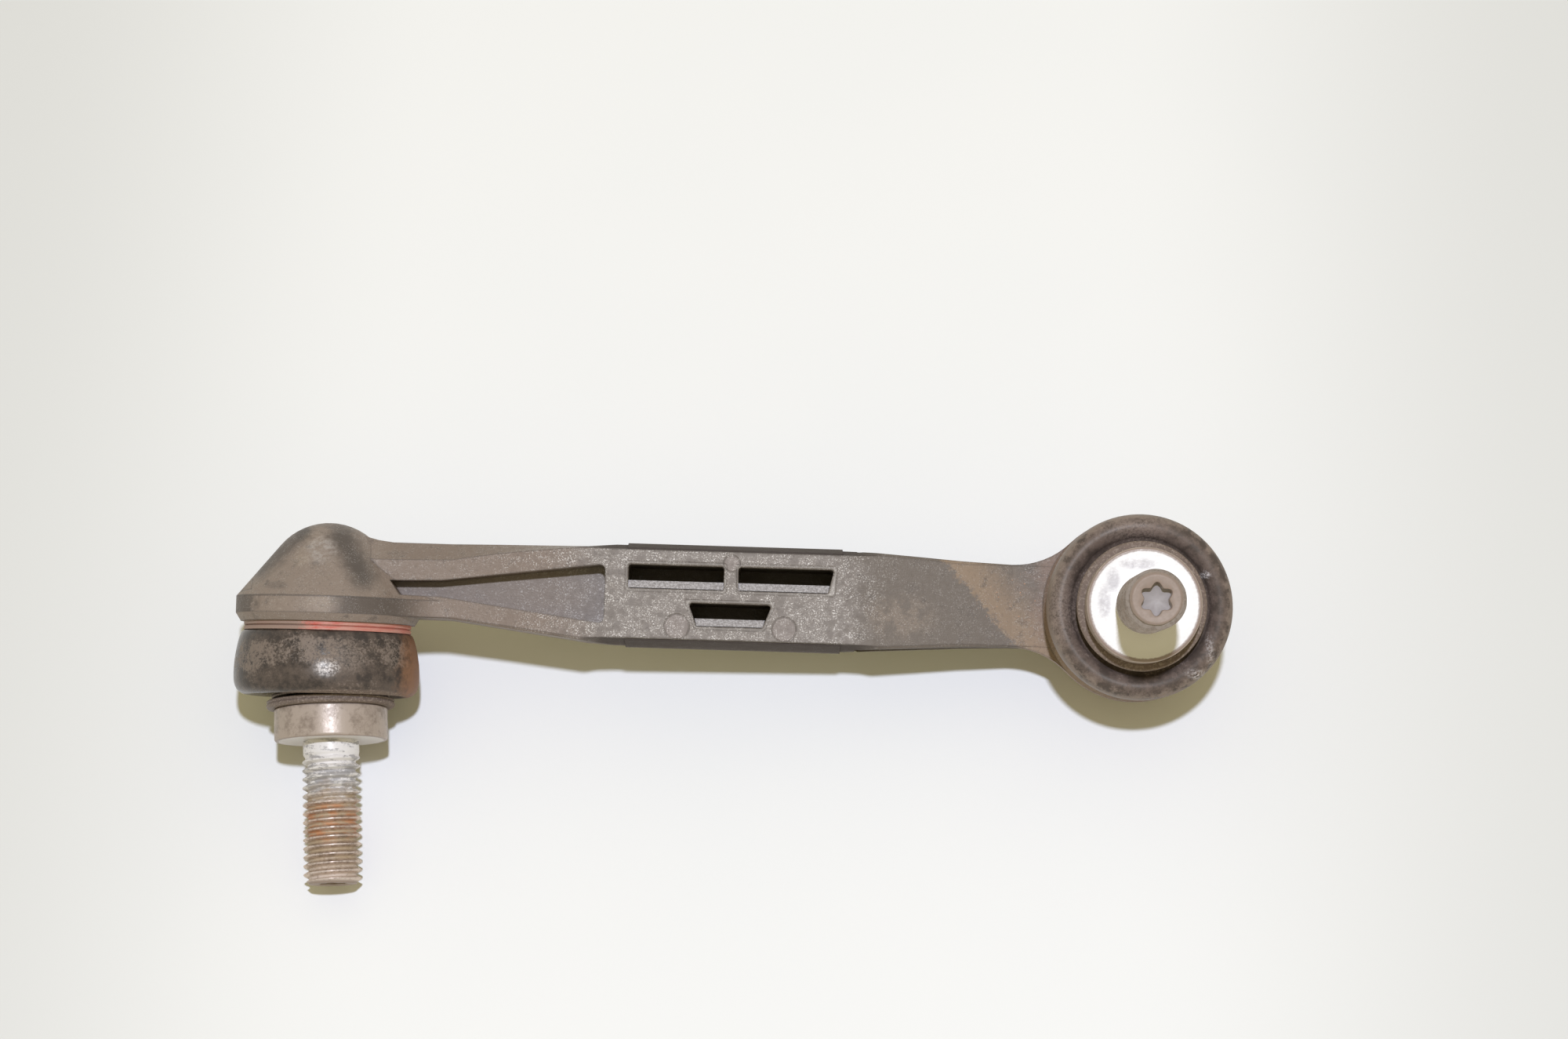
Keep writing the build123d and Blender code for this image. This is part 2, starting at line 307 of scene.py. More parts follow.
def bodyPlastic():
    f = Finish("bodyPlastic")
    look = bodyLook
    flat = f.stretched(f.place, (1.0, 1.0, 0.0))
    cloud = f.noise(f.place, 0.16, 4.0)
    patch = f.noise(f.place, 0.45, 5.0, 0.65)
    fine = f.noise(f.place, 1.3, 3.0, 0.65)
    grain = f.noise(f.place, 4.0, 2.0, 0.75)
    drift = f.x + (cloud - 0.5) * 14

    colour = look["dome"]
    for start, end, part in look["zones"]:
        colour = f.mix(f.rise(drift, start, end), colour, look[part])

    # road dust that begins at a slanting edge on the right
    slant = f.x + f.y * 0.87 + (fine - 0.5) * 5 + (cloud - 0.5) * 4
    dust = f.band(slant, *look["slantDust"]) * f.rise(f.z, 2.0, 4.0)
    colour = f.mix(dust * 0.8, colour, look["rightDust"])
    haze = f.spot(f.place, *look["haze"]) * f.rise(patch, 0.36, 0.6)
    colour = f.mix(haze * 0.6, colour, look["rightHaze"])
    sparks = f.rise(f.noise(f.place, 2.4, 1.0), 0.74, 0.79) * f.spot(f.place, *look["sparkPlace"])
    colour = f.mix(sparks * 0.8, colour, look["spark"])

    # dark smears, light dust, and a rubbed place with a painted highlight, on the dome and its band
    ragged = (patch - 0.5) * 1.5 + (fine - 0.5) * 0.5
    for centre, radii, share in look["smears"]:
        smear = f.rise(f.spot(f.place, centre, radii) + ragged, 0.1, 0.95)
        colour = f.mix(smear * share, colour, look["domeDark"])
    for start, end, reach, share in look["streaks"]:
        smear = f.rise(f.segment(flat, start, end) + ragged * 1.8, reach, 0.3)
        colour = f.mix(smear * share, colour, look["domeDark"])
    raggedX = f.x + ragged * 4
    bandEnds = f.rise(raggedX, 0.5, 4.5) * f.rise(f.x, 20.0, 12.0)
    bandEnds = f.rise(raggedX, -10.6, -13.0) + bandEnds
    onBand = f.rise(f.maths("ABSOLUTE", f.y + 3.65), 1.55, 1.35)
    colour = f.mix(bandEnds * onBand * 0.75, colour, look["domeDark"])
    for centre, radii, share in look["dusty"]:
        dusty = f.spot(f.place, centre, radii) * f.rise(0.5 + ragged, 0.2, 0.9)
        colour = f.mix(dusty * share, colour, look["dust"])
    # a rubbed, glossier place whose colour is a painted highlight
    rubbedAndHighlight = f.spot(f.place, *look["rubbedAndHighlight"]) * f.rise(fine * 0.5 + patch * 0.5, 0.36, 0.64)
    colour = f.mix(rubbedAndHighlight * 0.65, colour, look["glint"])
    colour = f.mix(f.rise(patch, 0.52, 0.72) * 0.35, colour, look["sootAndShade"])
    # painted shade: a dark line in the crease just above the band
    fromBand = f.maths("ABSOLUTE", f.y + 2.28)
    creaseShade = f.rise(fromBand + (fine - 0.5) * 0.2, 0.26, 0.06) * f.rise(f.x, 14.5, 12.5)
    colour = f.mix(creaseShade * 0.55, colour, look["sootAndShade"])

    # glass fibres that came up to the surface, thickest in the middle
    middle = f.band(f.x, 22.0, 50.0, 86.0, 100.0)
    fibres = f.rise(grain, 0.52, 0.66) * f.rise(patch, 0.4, 0.56)
    colour = f.mix(middle * f.rise(patch, 0.55, 0.38) * 0.3, colour, look["sootAndShade"])
    colour = f.mix(fibres * (middle * 0.8 + 0.2), colour, look["speck"])
    pits = f.rise(f.noise(f.place, 2.3, 2.0, 0.6), 0.44, 0.3)
    colour = f.mix(pits * (middle * 0.25 + 0.25), colour, look["sootAndShade"])

    # the block's flanks, painted darker towards the front as painted shade, a painted light line
    # along its bottom edge, and painted shade in the hollows behind the windows
    beside = f.maths("ABSOLUTE", f.y)
    inBlock = f.band(f.x, 42.0, 49.0, 91.0, 98.0)
    # painted shade on the block's flanks, strongest towards the front
    flank = f.rise(beside, 7.6, 7.75) * inBlock
    colour = f.mix(flank * (0.35 + f.rise(f.z, -5.0, 5.0) * 0.6), colour, look["side"])
    # painted light: a pale line along the block's lower front edge, where it catches the light
    litLowRim = f.rise(f.y, -8.8, -8.94) * f.rise(f.z, 6.6, 7.4)
    colour = f.mix(litLowRim * inBlock * 0.8, colour, look["litLowEdge"])
    # painted shade deep inside the windows
    deep = f.rise(f.z, 5.9, 4.4) * f.rise(beside, 6.4, 6.0)
    deep = deep * f.band(f.x, 50.5, 51.5, 88.5, 89.5)
    colour = f.mix(deep * 0.9, colour, look["hollowShade"])

    inPocket = f.rise(f.z, 2.9, 2.6) * f.band(f.x, 11.0, 13.0, 47.0, 49.0)
    colour = f.mix(inPocket * 0.5, colour, look["pocket"])

    # painted shade: dark lines along the edges between the faces
    soft = f.node("ShaderNodeBevel", {"samples": 4}, {"Radius": look["edgeReach"]})
    sharp = f.node("ShaderNodeNewGeometry", out="Normal")
    edgeShade = f.rise(f.vector("DOT_PRODUCT", soft, sharp, out="Value"), 0.9988, 0.991)
    colour = f.mix(edgeShade * 0.5, colour, look["sootAndShade"])

    # moulded marks and window rims on the front, with a painted highlight just round each window
    front = f.rise(f.z, 8.55, 8.68)
    marks = 0.0
    for across, high, markRadius in look["ejectorMarks"]:
        away = f.far(flat, (across, high, 0.0))
        marks = marks + f.rise(f.maths("ABSOLUTE", away - markRadius), *look["line"])
        inside = f.rise(away, markRadius, markRadius - 0.1) * front
        colour = f.mix(inside * 0.3, colour, look["ejector"])
    for across, high, halfWidth, halfHeight, widening in look["windowRims"]:
        toSide = f.maths("ABSOLUTE", f.x - across) - (halfWidth + (f.y - high) * widening)
        toEdge = f.maths("ABSOLUTE", f.y - high) - halfHeight
        past = {"X": f.maths("MAXIMUM", toSide, 0.0), "Y": f.maths("MAXIMUM", toEdge, 0.0)}
        away = f.vector("LENGTH", f.node("ShaderNodeCombineXYZ", None, past), out="Value")
        marks = marks + f.rise(f.maths("ABSOLUTE", away - 0.5), *look["line"]) * 0.8
        # painted highlight: a lighter strip just round each window, where its rounded rim catches
        # the light
        colour = f.mix(f.rise(away, 0.5, 0.36) * front * 0.25, colour, look["speck"])
    marks = marks * front
    corners = look["mouldMark"]
    for i, corner in enumerate(corners):
        edge = f.segment(flat, corner + (0.0,), corners[(i + 1) % 3] + (0.0,))
        marks = marks + f.rise(edge, 0.16, 0.05) * f.rise(f.z, 3.0, 4.0)
    colour = f.mix(marks * 0.4, colour, look["sootAndShade"])

    scratches = f.noise(f.stretched(f.place, (0.5, 3.0, 3.0)), 1.2, 3.0)
    bump = grain * 0.5 + fine * 0.6 + scratches * 0.4 - marks * 1.1
    roughness = 0.5 + (fine - 0.5) * 0.3 + dust * 0.14 - fibres * 0.15
    roughness = roughness + flank * 0.45 - rubbedAndHighlight * 0.12
    return f.close(colour, roughness, bump, 0.08, 0.3, Specular_IOR_Level=0.36)


ledgeLook = {"dark": tone(146, 140, 138), "light": tone(196, 191, 190)}


def ledgePlastic():
    # the slopes in the windows, which catch the light
    f = Finish("ledgePlastic")
    grain = f.noise(f.place, 3.0, 3.0, 0.7)
    colour = f.mix(f.rise(grain, 0.38, 0.66), ledgeLook["dark"], ledgeLook["light"])
    return f.close(colour, 0.42, grain, 0.06, 0.2)


rubberLook = {
    "rubber": tone(88, 76, 67),
    # dark rubber, also the painted shade on the inner slope
    "blackAndShade": tone(56, 48, 43),
    "dirt": tone(146, 131, 119),
    "lip": tone(128, 111, 99),
    "lipSpeck": tone(170, 155, 142),
    # painted highlight colour
    "paintedGlint": tone(234, 226, 222),
    "rim": tone(150, 134, 121),
    # painted shade for the groove under the lip
    "grooveShade": tone(34, 26, 23),
    "rust": tone(152, 104, 68),
    "rustFrom": 12.5,  # None for a boot without rust
    "dirtShare": 0.62,
    "polish": 0.34,
    "rimDust": 0.0,
    # centre and radii of the dusty places and of the painted highlights
    "dusty": (((4.6, -12.8, 15.0), (5.0, 3.4, 6.0)),),
    "paintedGlints": (((1.6, -14.5, 15.5), (2.8, 2.0, 5.0)),),
    # heights above the ball's centre
    "belt": (9.6, 11.6, 14.4, 16.4),
    "grooveHeights": (18.2, 18.6, 19.8, 20.1),
    "dipHeights": (16.6, 17.2, 18.7, 18.9),
}
# the right boot is browner
rightRubberLook = {
    **rubberLook,
    "rubber": tone(106, 91, 82),
    "blackAndShade": tone(76, 65, 58),
    "dirt": tone(150, 133, 122),
    "rustFrom": None,
    "dirtShare": 0.5,
    "polish": 0.12,
    "rimDust": 0.5,
    "dusty": (((126.4, -1.0, 16.0), (4.0, 11.0, 7.0)), ((138.6, 13.4, 16.0), (10.0, 3.6, 7.0))),
    "paintedGlints": (
        ((151.9, -6.8, 17.0), (1.4, 4.0, 3.0)),
        ((149.2, -11.1, 17.0), (2.8, 1.5, 3.0)),
        ((151.0, 5.8, 17.0), (1.4, 1.0, 4.0)),
    ),
}


def bootRubber(name, look, joint):
    f = Finish(name, restPlace=True)
    along, away = f.roundAxis(tuple(joint["centre"]), tuple(joint["axis"](1.0)))
    cloud = f.noise(f.place, 0.13, 3.0)
    blotch = f.noise(f.place, 0.42, 5.0, 0.7)
    speck = f.noise(f.place, 2.5, 3.0, 0.7)
    colour = f.mix(f.rise(blotch, 0.38, 0.6), look["blackAndShade"], look["rubber"])
    belt = f.band(along, *look["belt"]) * 0.2
    dirt = f.rise(speck + (blotch - 0.5) * 0.8 + (cloud - 0.5) * 0.5 + belt, 0.62, 0.84)
    colour = f.mix(dirt * look["dirtShare"], colour, look["dirt"])
    for middle, radii in look["dusty"]:
        dusty = f.spot(f.place, middle, radii) * f.rise(speck, 0.3, 0.62)
        colour = f.mix(dusty * 0.6, colour, look["dirt"])
    onLip = f.rise(along, 19.5, 19.9)
    colour = f.mix(onLip * (0.3 + speck * 0.7), colour, look["lip"])
    colour = f.mix(onLip * f.rise(speck, 0.5, 0.64) * 0.5, colour, look["lipSpeck"])
    # painted shade: near black in the groove under the lip
    shadedGroove = f.band(along, *look["grooveHeights"]) * f.rise(away, 10.6, 10.0)
    colour = f.mix(shadedGroove * 0.9, colour, look["grooveShade"])
    # painted shade in patches on the inner slope down to the groove
    shadedDip = f.band(along, *look["dipHeights"]) * f.rise(away, 13.0, 11.6)
    colour = f.mix(shadedDip * f.rise(speck, 0.62, 0.46) * 0.55, colour, look["blackAndShade"])
    onRim = f.rise(away + (blotch - 0.5) * 5, 14.6, 15.6) * f.rise(along, 14.0, 15.5)
    colour = f.mix(onRim * look["rimDust"], colour, look["rim"])
    if look["rustFrom"]:
        stain = f.rise(f.x + (blotch - 0.5) * 5, look["rustFrom"], look["rustFrom"] + 3.0)
        colour = f.mix(stain * 0.65, colour, look["rust"])
    # painted highlights: near-white specks where the lamp's highlight falls on the rubber
    for middle, radii in look["paintedGlints"]:
        paintedGlint = f.spot(f.place, middle, radii) * f.rise(speck, 0.4, 0.66)
        colour = f.mix(paintedGlint * 0.9, colour, look["paintedGlint"])
    centreX = joint["centre"].x
    polished = f.rise(f.x + (blotch - 0.5) * 14, centreX + 7.0, centreX - 3.0) * look["polish"]
    roughness = 0.6 - polished + dirt * 0.25 + onLip * 0.25
    roughness = roughness + (speck - 0.5) * 0.15 + (blotch - 0.5) * 0.2
    bump = speck * 0.12 + blotch * 0.5 + dirt * 0.25
    return f.close(colour, roughness, bump, 0.08, Specular_IOR_Level=0.4)


ringLook = {
    "salmon": tone(198, 142, 126),
    "red": tone(200, 84, 70),
    "dust": tone(150, 130, 116),
    "dustBelow": {"left": -2.5, "right": 130.0},  # x, in mm
}


def ringPlastic(side):
    f = Finish(side + "RingPlastic")
    look, dustBelow = ringLook, ringLook["dustBelow"][side]
    along = f.stretched(f.place, (0.3, 2.2, 0.3))
    worn = f.rise(f.noise(along, 0.9, 4.0, 0.65), 0.42, 0.58)
    speck = f.noise(f.place, 2.2, 3.0, 0.6)
    colour = f.mix(worn * (f.rise(f.x, 6.0, 1.0) * 0.5 + 0.35), look["salmon"], look["red"])
    colour = f.mix(f.rise(speck, 0.5, 0.75) * 0.4, colour, look["salmon"])
    dust = f.rise(f.x + (speck - 0.5) * 6, dustBelow + 2.0, dustBelow - 2.0)
    colour = f.mix(dust * 0.9, colour, look["dust"])
    return f.close(colour, 0.55 + (speck - 0.5) * 0.2, speck, 0.06, 0.15)


steelLook = {
    "neck": tone(120, 112, 104),
    "zincAndReflection": tone(216, 210, 206),
    "zincShade": tone(176, 170, 172),
    "zincEdge": tone(150, 130, 118),
    "collar": tone(176, 160, 146),
    "collarDark": tone(140, 125, 112),
    "powder": tone(229, 224, 219),
    "powderShade": tone(172, 168, 166),
    "crest": tone(206, 190, 177),
    "crestDark": tone(160, 143, 129),
    "tan": tone(164, 142, 108),
    "rust": tone(188, 134, 94),
    "end": tone(150, 131, 118),
    "socket": tone(166, 158, 153),
    "rustShare": 0.85,
    "smudges": (),
    # heights above the ball's centre
    "powderEnd": 36.6,
    "rusty": (37.6, 39.4, 43.0, 45.2),
    "face": (26.95, 27.05),
    "shankFrom": (27.06, 27.2),
    "neckBelow": (21.4, 21.2),
}
# the right stud is cleaner and darker, and its collar's face is painted near white as a painted
# reflection of its polished zinc
rightSteelLook = {
    **steelLook,
    # painted reflection: a near-white face without metal, in place of the mirror shine of polished
    # zinc
    "zincAndReflection": tone(253, 250, 246),
    "powder": tone(176, 166, 156),
    "powderShade": tone(150, 138, 128),
    "crest": tone(158, 146, 136),
    "crestDark": tone(138, 125, 114),
    "tan": tone(140, 124, 102),
    "rustShare": 0.2,
    "powderEnd": 28.0,
    # centre and radii of the grey marks on the collar's face
    "smudges": (
        ((133.2, 0.2, 27.1), (1.5, 4.0, 2.0)),
        ((138.6, 6.9, 27.1), (4.6, 1.3, 2.0)),
        ((134.6, 4.2, 27.1), (1.6, 3.2, 2.0)),
    ),
}


def studSteel(name, look, joint):
    f = Finish(name)
    along, away = f.roundAxis(tuple(joint["centre"]), tuple(joint["axis"](1.0)))
    cloud = f.noise(f.place, 0.35, 4.0, 0.6)
    speck = f.noise(f.place, 1.7, 4.0, 0.65)
    bands = f.noise(f.stretched(f.place, (0.3, 1.2, 0.3)), 1.0, 4.0, 0.6)
    height = along + (cloud - 0.5) * 6

    stained = f.rise(cloud + (speck - 0.5) * 0.5, 0.4, 0.72)
    collar = f.mix(stained, look["collar"], look["collarDark"])
    # the collar's face: plain zinc on the left, a painted reflection on the right
    face = look["zincAndReflection"]
    for middle, radii in look["smudges"]:
        smudge = f.spot(f.place, middle, radii) * f.rise(cloud * 0.7 + speck * 0.3, 0.32, 0.6)
        face = f.mix(smudge * 0.7, face, look["zincShade"])
    face = f.mix(f.rise(away + (speck - 0.5) * 0.3, 8.95, 9.25), face, look["zincEdge"])
    onFace = f.rise(along, *look["face"])
    collar = f.mix(onFace, collar, face)

    thin = f.rise(height, 29.0, 35.0) * 0.12
    shaded = f.rise(bands + (speck - 0.5) * 0.45 + thin, 0.5, 0.64)
    powder = f.mix(shaded, look["powder"], look["powderShade"])
    dull = f.rise(speck + (cloud - 0.5) * 0.5, 0.42, 0.68)
    crest = f.mix(dull, look["crest"], look["crestDark"])
    root = f.rise(away, 4.6, 4.25)
    bare = f.mix(root * f.rise(height, 51.0, 47.0) * 0.75, crest, look["tan"])
    streaked = f.rise(bands, 0.42, 0.58) * (0.3 + f.rise(away, 4.85, 4.5) * 0.7)
    rusty = f.band(height, *look["rusty"]) * streaked * look["rustShare"]
    bare = f.mix(rusty, bare, look["rust"])
    powderEnd = look["powderEnd"]
    past = f.rise(height + (bands - 0.5) * 9, powderEnd - 2.5, powderEnd + 1.5)
    shank = f.mix(past, powder, bare)
    end = f.mix(f.rise(speck, 0.4, 0.7) * 0.4, look["end"], look["crestDark"])
    end = f.mix(f.rise(away, 2.9, 2.5) * f.rise(along, 51.4, 50.6), end, look["socket"])
    shank = f.mix(f.rise(along, 51.3, 51.7), shank, end)
    shank = f.mix(f.rise(away, 3.2, 2.9), shank, end)

    colour = f.mix(f.rise(along, *look["shankFrom"]), collar, shank)
    colour = f.mix(f.rise(along, *look["neckBelow"]), colour, look["neck"])
    onShank = f.rise(along, 27.1, 27.3)
    shine = onShank * f.rise(height, powderEnd, powderEnd + 3.0) * (1.0 - root) * 0.75
    metal = (1.0 - onFace) * 0.15 + shine + f.rise(along, 21.0, 19.0) * 0.6
    metal = metal * f.rise(along, 51.8, 51.3)
    roughness = 0.36 + (speck - 0.5) * 0.3 + root * 0.15
    bump = speck * 0.6 + cloud * 0.4
    return f.close(colour, roughness, bump, 0.05, Metallic=metal)


garterLook = {"wire": tone(120, 106, 94), "dirt": tone(74, 62, 54)}


def garterSteel():
    f = Finish("garterSteel")
    speck = f.noise(f.place, 2.5, 3.0)
    colour = f.mix(f.rise(speck, 0.4, 0.65), garterLook["wire"], garterLook["dirt"])
    return f.close(colour, 0.5, speck, 0.03, Metallic=0.7)


shellLook = {"white": tone(232, 230, 222), "greased": tone(214, 208, 194)}


def shellPlastic():
    f = Finish("shellPlastic")
    cloud = f.noise(f.place, 0.4, 3.0)
    colour = f.mix(f.rise(cloud, 0.4, 0.7), shellLook["white"], shellLook["greased"])
    return f.close(colour, 0.32, cloud, 0.02)


def giveFinish(target, material):
    target.data.materials.clear()
    target.data.materials.append(material)


giveFinish(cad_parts["link_body"], bodyPlastic())
wire, shell = garterSteel(), shellPlastic()
for side in ("left", "right"):
    giveFinish(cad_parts[side + "_closing_ring"], ringPlastic(side))
    giveFinish(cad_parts[side + "_garter_ring"], wire)
    giveFinish(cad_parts[side + "_bearing_shell"], shell)
print("finishes on the carried-over nodes")


# turned and moulded round pieces

leftLean = {"toArm": 3.3, "toFront": 5.5}  # degrees, of the left stud from its housing's axis


def leftAxis(share):
    a, b = radians(leftLean["toArm"] * share), radians(leftLean["toFront"] * share)
    return Vector((sin(a) * cos(b), -cos(a) * cos(b), sin(b)))


def rightAxis(share):
    return Vector((0, 0, 1))


joints = {
    "left": {"centre": Vector((0, 0, 0)), "axis": leftAxis, "across": Vector((1, 0, 0))},
    "right": {"centre": Vector((140, 0, 0)), "axis": rightAxis, "across": Vector((1, 0, 0))},
}


def jointFrame(joint, share):
    # a frame on the ball's centre whose z runs along the stud
    axis = joint["axis"](share).normalized()
    across = (joint["across"] - joint["across"].dot(axis) * axis).normalized()
    turned = Matrix((across, axis.cross(across), axis)).transposed().to_4x4()
    return Matrix.Translation(joint["centre"]) @ turned


def softened(path, steps=4):
    # rounds each corner of a (radius, height, rounding) path
    points = []
    for i, (r, h, rounding) in enumerate(path):
        here = Vector((r, h))
        if not rounding or i in (0, len(path) - 1):
            points.append(here)
            continue
        before = here + (Vector(path[i - 1][:2]) - here).normalized() * rounding
        after = here + (Vector(path[i + 1][:2]) - here).normalized() * rounding
        for step in range(steps + 1):
            t = step / steps
            points.append(before * (1 - t) ** 2 + here * 2 * t * (1 - t) + after * t * t)
    return [(p.x, p.y) for p in points]


def addRing(mesh, radius, height, segments, place):
    # radius is one number, or a list with one for each point
    ring = []
    for i in range(segments):
        angle = 2 * pi * i / segments
        r = radius[i] if isinstance(radius, list) else radius
        ring.append(mesh.verts.new(place @ Vector((r * cos(angle), r * sin(angle), height)) / 1000))
    return ring


def skin(mesh, lower, upper):
    count = len(lower)
    for i in range(count):
        j = (i + 1) % count
        mesh.faces.new((lower[i], lower[j], upper[j], upper[i]))


def finished(name, mesh):
    data = bpy.data.meshes.new(name)
    mesh.to_mesh(data)
    mesh.free()
    data.polygons.foreach_set("use_smooth", [True] * len(data.polygons))
    made = bpy.data.objects.new(name, data)
    bpy.context.scene.collection.objects.link(made)
    return made


def asMesh(target):
    # the evaluated object as a plain mesh, with its modifiers gone
    seen = target.evaluated_get(bpy.context.evaluated_depsgraph_get())
    plain = bpy.data.meshes.new_from_object(seen)
    target.modifiers.clear()
    target.data = plain
    return target


# window ledges: a slope along each window's foot

ledgeSizes = {
    "rise": 1.3,
    "depth": 0.75,
    "top": 8.5,  # z, just under the block's front
    "foot": 6.0,
    # left and right ends at the foot and at the slope's upper edge, and the foot's height
    "windows": (
        (52.3, 68.8, 52.3, 68.8, 1.08),
        (71.3, 86.8, 71.3, 87.1, 1.08),
        (64.3, 75.7, 63.9, 76.1, -5.22),
    ),
}


def makeLedges():
    top, foot = ledgeSizes["top"], ledgeSizes["foot"]
    back = top - ledgeSizes["depth"]
    mesh = bmesh.new()
    for left, right, upperLeft, upperRight, low in ledgeSizes["windows"]:
        high = low + ledgeSizes["rise"]
        ends = []
        for x, upperX in ((left, upperLeft), (right, upperRight)):
            corners = ((x, low, top), (upperX, high, back), (upperX, high, foot), (x, low, foot))
            ends.append([mesh.verts.new(metres(*corner)) for corner in corners])
        skin(mesh, *ends)
        for end in ends:
            mesh.faces.new(end)
    bmesh.ops.recalc_face_normals(mesh, faces=mesh.faces)
    made = finished("windowLedges", mesh)
    made.data.polygons.foreach_set("use_smooth", [False] * len(made.data.polygons))
    giveFinish(made, ledgePlastic())
    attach(made, "link")


makeLedges()
print("window ledges")


# threads: a grid rolled up by a rule

threadSizes = {
    "Major Radius": 5.04,
    "Blank Radius": 4.86,  # beside the collar
    "Depth": 0.9,
    "Pitch": 1.5,
    "Length": 24.85,
    "Runout Start": 1.9,
    "Runout End": 4.2,
    "Tip Radius": 4.05,
    "Tip Chamfer": 1.0,
    "Root Flat": 0.2,  # share of half a pitch
    "Crest Flat": 0.88,
}
threadGrid = {"Segments": 96, "Rows": 250}
threadStart = 27.05  # height above the ball's centre
seamWeld = 0.000004  # metres, between points that become one


def threadTree():
    tree = bpy.data.node_groups.new("rolledThread", "GeometryNodeTree")
    g = Graph(tree)
    kinds = dict.fromkeys(threadSizes, "NodeSocketFloat")
    kinds.update(dict.fromkeys(threadGrid, "NodeSocketInt"), Material="NodeSocketMaterial")
    sockets = {}
    for name, kind in kinds.items():
        sockets[name] = tree.interface.new_socket(name, in_out="INPUT", socket_type=kind)
    tree.interface.new_socket("Geometry", in_out="OUTPUT", socket_type="NodeSocketGeometry")
    given = g.node("NodeGroupInput")
    size = {name: given.pick(name) for name in sockets}

    grid = g.node("GeometryNodeMeshGrid", None, {
        "Size X": 1.0,
        "Size Y": 1.0,
        "Vertices X": size["Segments"] + 1,
        "Vertices Y": size["Rows"],
    })
    flat = g.node("ShaderNodeSeparateXYZ", None, {0: g.node("GeometryNodeInputPosition")})
    turn = flat.pick("X") + 0.5
    height = (flat.pick("Y") + 0.5) * size["Length"]
    phase = g.maths("FRACT", height / size["Pitch"] - turn + 4.0)  # 4 keeps it above 0
    ridge = g.maths("ABSOLUTE", phase * 2.0 - 1.0)
    slope = {"Value": ridge, "From Min": size["Root Flat"], "From Max": size["Crest Flat"]}
    flank = g.node("ShaderNodeMapRange", {"clamp": True}, slope)
    cut = g.rise(height, size["Runout Start"], size["Runout End"])
    outer = size["Blank Radius"] + (size["Major Radius"] - size["Blank Radius"]) * cut
    radius = outer - size["Depth"] * cut * (1.0 - flank)
    toTip = (size["Length"] - height) / size["Tip Chamfer"]
    tip = size["Tip Radius"] + toTip * (size["Major Radius"] - size["Tip Radius"])
    radius = g.maths("MINIMUM", radius, tip) / 1000
    angle = turn * (2 * pi)
    rolled = g.node("ShaderNodeCombineXYZ", None, {
        "X": radius * g.maths("COSINE", angle),
        "Y": radius * g.maths("SINE", angle),
        "Z": height / 1000,
    })
    moved = g.node("GeometryNodeSetPosition", None, {"Geometry": grid, "Position": rolled})
    welding = {"Geometry": moved, "Distance": seamWeld / 2}
    welded = g.node("GeometryNodeMergeByDistance", None, welding)
    smooth = g.node("GeometryNodeSetShadeSmooth", None, {"Geometry": welded})
    real = g.node("GeometryNodeRealizeInstances", None, {"Geometry": smooth})
    painting = {"Geometry": real, "Material": size["Material"]}
    painted = g.node("GeometryNodeSetMaterial", None, painting)
    g.node("NodeGroupOutput", None, {"Geometry": painted})
    return tree, {name: socket.identifier for name, socket in sockets.items()}


def makeThread(tree, identifiers, material):
    made = finished("thread", bmesh.new())
    modifier = made.modifiers.new("thread", "NODES")
    modifier.node_group = tree
    for name, value in {**threadSizes, **threadGrid, "Material": material}.items():
        modifier[identifiers[name]] = value
    return asMesh(made)


# ball studs

studSizes = {
    "ball": 8.0,
    "ballRows": 24,
    "neck": 4.25,
    "tip": 51.9,
    "socketMean": 2.42,
    "socketLobe": 0.37,
    # radius and depth below the tip
    "endFace": ((4.05, 0.0), (3.75, 0.0), (3.3, 0.06)),
    "socketFloor": (0.7, 2.55),
    "socketPoint": 2.65,
    # how much narrower than the six-lobe line, and depth below the tip
    "socketWall": ((-0.16, 0.06), (-0.05, 0.12), (0.0, 0.3), (0.0, 2.2), (0.15, 2.35)),
    # radius, height, rounding
    "profile": (
        (4.25, 6.78, 0), (4.25, 10.4, 1.2), (8.0, 17.2, 0.6), (8.0, 21.5, 0.25), (9.8, 21.5, 0.3),
        (9.8, 27.1, 0.5), (9.3, 27.1, 0), (4.86, 27.05, 0),
    ),
}


def socketRadius(angle, shrink):
    return studSizes["socketMean"] - shrink + studSizes["socketLobe"] * cos(6 * (angle - pi / 2))


